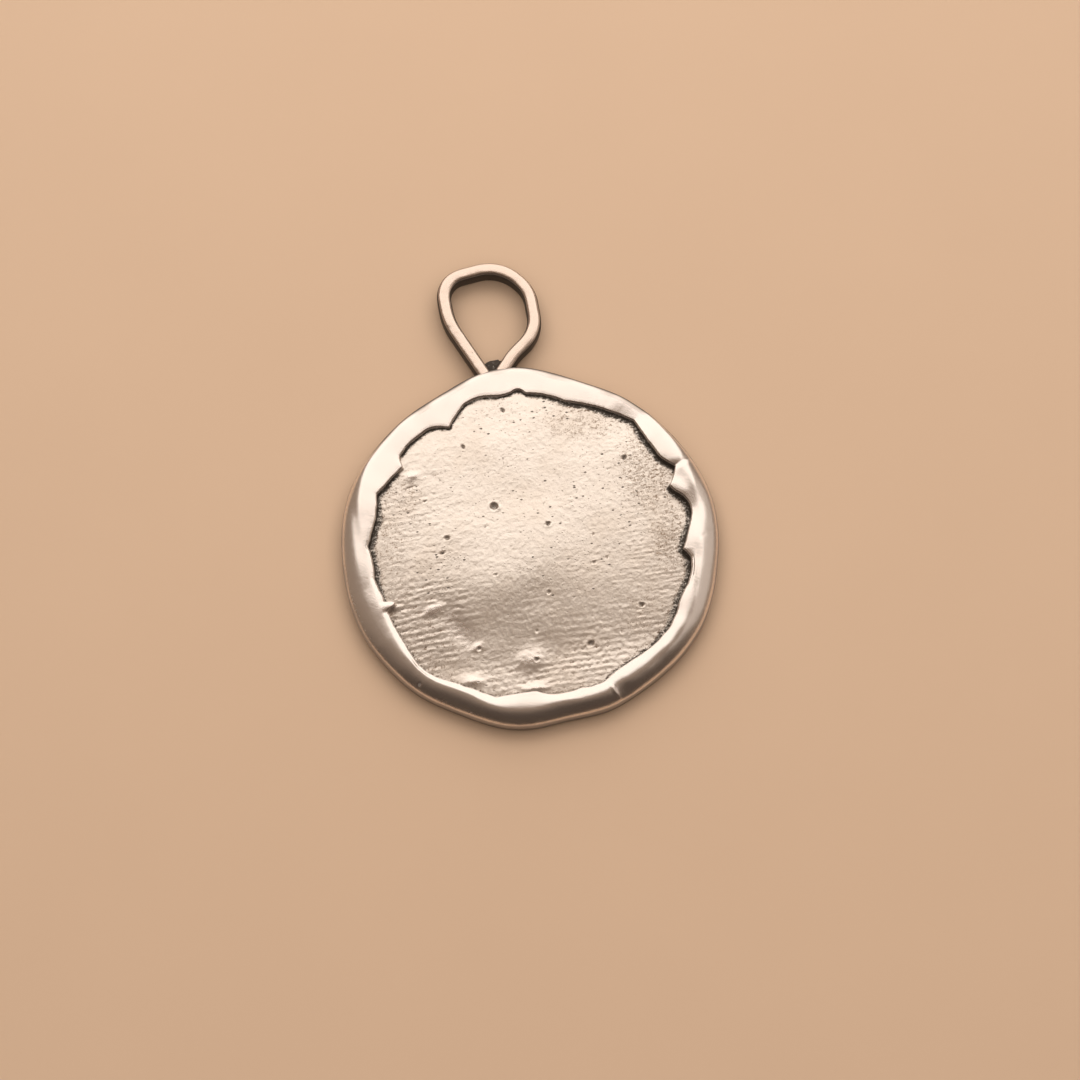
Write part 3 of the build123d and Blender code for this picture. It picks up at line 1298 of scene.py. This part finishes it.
@dataclass
class Bail:
    """The loop of flattened wire, with its feet inside the rim."""

    disc_radius: float = 14.4
    length: float = 9.4
    width: float = 7.7
    wire_width: float = 1.1
    wire_height: float = 1.4
    clearance: float = 0.4
    section_power: float = 3.6
    around: int = 56
    spacing: float = 0.09
    bend_points: int = 24
    smoothing: int = 11
    full_width: float = 0.98
    width_swing: float = 0.03
    full_height: float = 0.985
    height_swing: float = 0.015
    swelling: Noise = Noise(0.09, 71)
    dents: Noise = Noise(0.6, 72, 0.012)
    # The wire's sides are held dark: partly oxide and partly painted shade of the sides and their
    # contact shadow.
    side_oxide_and_shade: float = 1.4
    polish: float = 0.90
    specks: float = 0.01

    def corner(self, corner: Corner) -> Array:
        """Place of a corner of the middle line.

        Args:
            corner: the corner.

        Returns:
            Across and up, in mm.
        """
        across = corner.across * (self.width - self.wire_width)
        up = self.disc_radius + corner.up * (self.length - self.wire_width / 2)
        return np.array([across, up])

    def leg(self, corners: list[Corner]) -> Array:
        """Points along one side of the loop: straight runs joined by tangent arcs.

        Each arc's ends lie its radius times the tangent of half the turn from its corner.

        Args:
            corners: the corners in order.

        Returns:
            The points.
        """
        places = [self.corner(corner) for corner in corners]
        parts = [places[0][None, :]]
        for before, place, after, corner in zip(places, places[1:], places[2:], corners[1:]):
            arriving = (place - before) / np.linalg.norm(place - before)
            leaving = (after - place) / np.linalg.norm(after - place)
            turn = math.acos(float(arriving @ leaving))
            bend = corner.bend * (self.width - self.wire_width)
            inwards = (leaving - arriving) / np.linalg.norm(leaving - arriving)
            middle = place + inwards * bend / math.cos(turn / 2)
            start = place - arriving * bend * math.tan(turn / 2) - middle
            way = math.copysign(1.0, arriving[0] * leaving[1] - arriving[1] * leaving[0])
            swing = way * np.linspace(0.0, turn, self.bend_points)[:, None]
            square = np.array([-start[1], start[0]])
            parts.append(middle + start * np.cos(swing) + square * np.sin(swing))
        parts.append(places[-1][None, :])
        return np.concatenate(parts)

    def route(self) -> tuple[Array, Array]:
        """The whole middle line, evenly spaced and slightly smoothed, and its directions.

        Returns:
            Points and unit directions.
        """
        rough = np.concatenate([self.leg(LEFT_LEG), self.leg(RIGHT_LEG)[1:]])
        along = np.append(0.0, np.cumsum(np.linalg.norm(np.diff(rough, axis=0), axis=1)))
        wanted = np.linspace(0.0, along[-1], int(along[-1] / self.spacing))
        points = np.stack([np.interp(wanted, along, rough[:, i]) for i in (0, 1)], axis=-1)
        window = np.hanning(self.smoothing) / np.hanning(self.smoothing).sum()
        half = self.smoothing // 2
        padded = np.pad(points, ((half, half), (0, 0)), mode="reflect", reflect_type="odd")
        points = np.stack([np.convolve(padded[:, i], window, "valid") for i in (0, 1)], axis=-1)
        heading = np.gradient(points, axis=0)
        return points, heading / np.linalg.norm(heading, axis=1, keepdims=True)

    def build(self, finish: CastSilver) -> bpy.types.Object:
        """Carry the section, a superellipse, along the middle line and close its ends.

        Args:
            finish: its finish.

        Returns:
            The piece.
        """
        points, heading = self.route()
        count = len(points)
        angle = np.linspace(0.0, 2.0 * np.pi, self.around, endpoint=False)
        across = signed_power(np.cos(angle), 2.0 / self.section_power)
        up = signed_power(np.sin(angle), 2.0 / self.section_power)
        swell = self.swelling(np.linspace(0.0, 1.0, count), np.zeros(count))[:, None]
        right = np.stack([heading[:, 1], -heading[:, 0]], axis=-1)
        offset = across * (self.wire_width / 2 * (self.full_width + self.width_swing * swell))
        x, y = points[:, :1] + right[:, :1] * offset, points[:, 1:] + right[:, 1:] * offset
        rise = up * (self.wire_height / 2 * (self.full_height + self.height_swing * swell))
        touch = touch_by_marks(x, y)
        on_top = np.clip(up, 0.0, 1.0)
        z = self.clearance + self.wire_height / 2 + rise
        z = z + (self.dents(x, y) + touch.rise) * on_top
        # Painted shade, partly oxide, on the wire's sides, with the marks' oxide on top.
        oxide_and_shade = np.maximum(self.side_oxide_and_shade * smooth_step(0.96, 0.68, up), touch.oxide_and_shade * on_top)
        numbers = np.arange(count * self.around).reshape(count, self.around)
        faces = [ring_quads(numbers[:-1], numbers[1:]), numbers[:1], numbers[-1:, ::-1]]
        skin = np.stack([x, y, z], axis=-1).reshape(-1, 3)
        layers = {"oxide_and_shade": oxide_and_shade.ravel(), "polish": self.polish, "specks": self.specks}
        return make_piece("bail", skin, faces, layers, finish)


@dataclass
class Solder:
    """The solder in the fork of the bail's legs, from inside the rim outwards."""

    middle_x: float = -0.05
    middle_y: float = 14.25
    half_width: float = 1.9
    half_length: float = 1.55
    bottom: float = 0.42
    top: float = 1.14
    rows: int = 40
    columns: int = 96
    ring_power: float = 0.6
    lift_power: float = 0.8
    plan_power: float = 0.7
    narrowing: float = 0.42
    flatness: float = 0.94
    lumps: tuple[Noise, ...] = (Noise(0.5, 81, 0.06), Noise(0.16, 82, 0.025))
    # Dark all over: the solder's own oxide, and painted shade of the fork between the legs.
    oxide_and_shade: float = 1.0
    polish: float = 0.1
    specks: float = 0.1

    def build(self, finish: CastSilver) -> bpy.types.Object:
        """Sweep a lumpy superellipsoid: cosines and sines of latitude and longitude to powers.

        Powers below one square it, it narrows outwards, and noise swells it.

        Args:
            finish: its finish.

        Returns:
            The piece.
        """
        latitude = np.linspace(-np.pi / 2, np.pi / 2, self.rows + 1)[1:-1, None]
        longitude = np.linspace(0.0, 2.0 * np.pi, self.columns, endpoint=False)
        ring = np.cos(latitude) ** self.ring_power
        lift = signed_power(np.sin(latitude), self.lift_power)
        across = signed_power(np.cos(longitude), self.plan_power)
        up = signed_power(np.sin(longitude), self.plan_power)
        narrowed = 1.0 - self.narrowing * np.clip(up, 0.0, 1.0)
        swell = pile(self.lumps, across * 2.0, up * 2.0 + lift, 1.0)
        x = self.middle_x + self.half_width * ring * across * narrowed * swell
        y = self.middle_y + self.half_length * ring * up * swell
        centre = (self.bottom + self.top) / 2
        z = centre + (self.top - self.bottom) / 2 * self.flatness * lift * swell
        body = np.stack([x, y, z], axis=-1).reshape(-1, 3)
        pole = [self.middle_x, self.middle_y]
        points = np.concatenate([body, [[*pole, self.bottom]], [[*pole, self.top]]])
        numbers = np.arange(len(body)).reshape(x.shape)
        below = fan(numbers[0], len(body))
        above = fan(numbers[-1], len(body) + 1)[:, [0, 2, 1]]
        faces = [ring_quads(numbers[1:], numbers[:-1]), below, above]
        layers = {"oxide_and_shade": self.oxide_and_shade, "polish": self.polish, "specks": self.specks}
        return make_piece("solder", points, faces, layers, finish)


def add_aimed(
    name: str, data: bpy.types.ID, axes: tuple[Array, Array, Array], at_m: Array
) -> bpy.types.Object:
    """Put a camera or light into the scene and turn it.

    Args:
        name: its name.
        data: the camera or light.
        axes: its own X, Y and Z as unit vectors.
        at_m: its place in metres.

    Returns:
        The object.
    """
    matrix = np.eye(4)
    matrix[:3, :3] = np.stack(axes, axis=-1)
    matrix[:3, 3] = at_m
    aimed = add_object(name, data)
    aimed.matrix_world = Matrix(matrix.tolist())
    return aimed


@dataclass(frozen=True)
class Panel:
    """A soft rectangular light, placed by where it is seen from the pendant."""

    name: str
    turn_deg: float
    off_zenith_deg: float
    width_deg: float
    height_deg: float
    radiance: float
    colour: tuple[float, float, float] = (1.0, 0.95, 0.88)
    distance_m: float = 0.5
    seen_in_silver: bool = True

    def build(self, away: Array) -> None:
        """Hang the light so that it faces the pendant.

        Its size is twice its distance times the tangent of half its angle, and its power is
        its radiance times its area times pi.

        Args:
            away: level unit vector from the camera's side to the far side.
        """
        right = np.array([away[1], -away[0], 0.0])
        turn, tilt = math.radians(self.turn_deg), math.radians(self.off_zenith_deg)
        level = away * math.cos(turn) + right * math.sin(turn)
        back = level * math.sin(tilt) + np.array([0.0, 0.0, math.cos(tilt)])
        side = np.array([-level[1], level[0], 0.0])
        data = bpy.data.lights.new(self.name, "AREA")
        data.shape = "RECTANGLE"
        half_angles = [math.radians(angle / 2) for angle in (self.width_deg, self.height_deg)]
        data.size, data.size_y = [2.0 * self.distance_m * math.tan(half) for half in half_angles]
        data.energy = self.radiance * math.pi * data.size * data.size_y
        data.color = self.colour
        axes = (side, np.cross(back, side), back)
        light = add_aimed(self.name, data, axes, back * self.distance_m)
        light.visible_glossy = self.seen_in_silver


PANELS = [
    Panel("window", -3.0, 50.0, 72.0, 65.0, 1.17, distance_m=0.20),
    Panel("side_card", 74.0, 50.0, 36.0, 44.0, 0.34),
    Panel("floor_fill", 0.0, 0.0, 90.0, 90.0, 0.85, seen_in_silver=False),
]


@dataclass
class Studio:
    """Camera, lights and floor: the photo's view of a pendant that lies on a surface."""

    turn_deg: float = 10.0
    elevation_deg: float = 69.0
    distance: float = 350.0
    px_per_mm: float = 13.1
    centre_px: tuple[float, float] = (529.6, 552.7)
    clip_m: tuple[float, float] = (0.01, 20.0)
    floor_half_m: float = 1.2
    room: tuple[float, float, float] = (0.27, 0.195, 0.140)
    room_behind_camera: tuple[float, float, float] = (0.050, 0.031, 0.020)

    def axes(self) -> tuple[Array, Array, Array]:
        """Directions from the pendant to the camera, to the picture's right and to its top.

        Returns:
            Three unit vectors.
        """
        turn, rise = math.radians(self.turn_deg), math.radians(self.elevation_deg)
        right = np.array([math.cos(turn), -math.sin(turn), 0.0])
        level = np.array([-math.sin(turn), -math.cos(turn), 0.0])
        back = level * math.cos(rise) + np.array([0.0, 0.0, math.sin(rise)])
        return back, right, np.cross(back, right)

    def make_camera(self) -> None:
        """Set up the camera so that the disc's middle falls where the photo has it."""
        back, right, top = self.axes()
        middle = IMAGE_PX / 2
        aside = (middle - self.centre_px[0]) / self.px_per_mm
        above = (self.centre_px[1] - middle) / self.px_per_mm
        data = bpy.data.cameras.new("camera")
        data.sensor_width = SENSOR_MM
        data.lens = self.px_per_mm * self.distance * SENSOR_MM / IMAGE_PX
        data.clip_start, data.clip_end = self.clip_m
        at_m = (back * self.distance + right * aside + top * above) * METRES
        bpy.context.scene.camera = add_aimed("camera", data, (right, top, back), at_m)

    def make_lights(self) -> None:
        """Hang the panels in a dim warm room, which is darkest behind the camera."""
        turn = math.radians(self.turn_deg)
        away = np.array([math.sin(turn), math.cos(turn), 0.0])
        for panel in PANELS:
            panel.build(away)
        world = bpy.data.worlds.new("room")
        world.use_nodes = True
        tree = Tree(world.node_tree)
        direction = tree.node("ShaderNodeTexCoord")["Generated"]
        inputs = {0: direction, 1: tuple(-away)}
        nearness = tree.node("ShaderNodeVectorMath", {"operation": "DOT_PRODUCT"}, inputs)["Value"]
        colour = tree.mix(nearness.ramp(-0.15, 0.55), self.room, self.room_behind_camera)
        shader = tree.node("ShaderNodeBackground", {}, {"Color": colour})["Background"]
        tree.node("ShaderNodeOutputWorld", {}, {"Surface": shader})
        bpy.context.scene.world = world

    def make_floor(self) -> None:
        """Lay the plain floor that the pendant rests on."""
        half = self.floor_half_m
        mesh = bpy.data.meshes.new("floor")
        corners = [(-half, -half, 0.0), (half, -half, 0.0), (half, half, 0.0), (-half, half, 0.0)]
        mesh.from_pydata(corners, [], [(0, 1, 2, 3)])
        mesh.materials.append(PaleFloor().make())
        add_object("floor", mesh)

    def build(self) -> None:
        """Make the camera, the lights and the floor."""
        self.make_camera()
        self.make_lights()
        self.make_floor()
        bpy.context.scene.view_settings.view_transform = "Standard"


def main() -> None:
    """Build the studio and the pendant, and report each piece."""
    logging.basicConfig(level=logging.INFO, format="%(message)s")
    Studio().build()
    pieces = [
        Disc().build(CastSilver("disc_silver")),
        Bail().build(CastSilver("wire_silver", (0.77, 0.63, 0.55), peel_depth_mm=0.003)),
        Solder().build(CastSilver("solder_silver", oxide_roughness=0.8, grain_depth_mm=0.05)),
    ]
    for piece in pieces:
        box = np.array(piece.bound_box)
        size = (box.max(axis=0) - box.min(axis=0)) / METRES
        triangles = sum(len(polygon.vertices) - 2 for polygon in piece.data.polygons)
        LOG.info("%s: %d triangles, %s mm", piece.name, triangles, size.round(2))


if __name__ == "__main__":
    main()
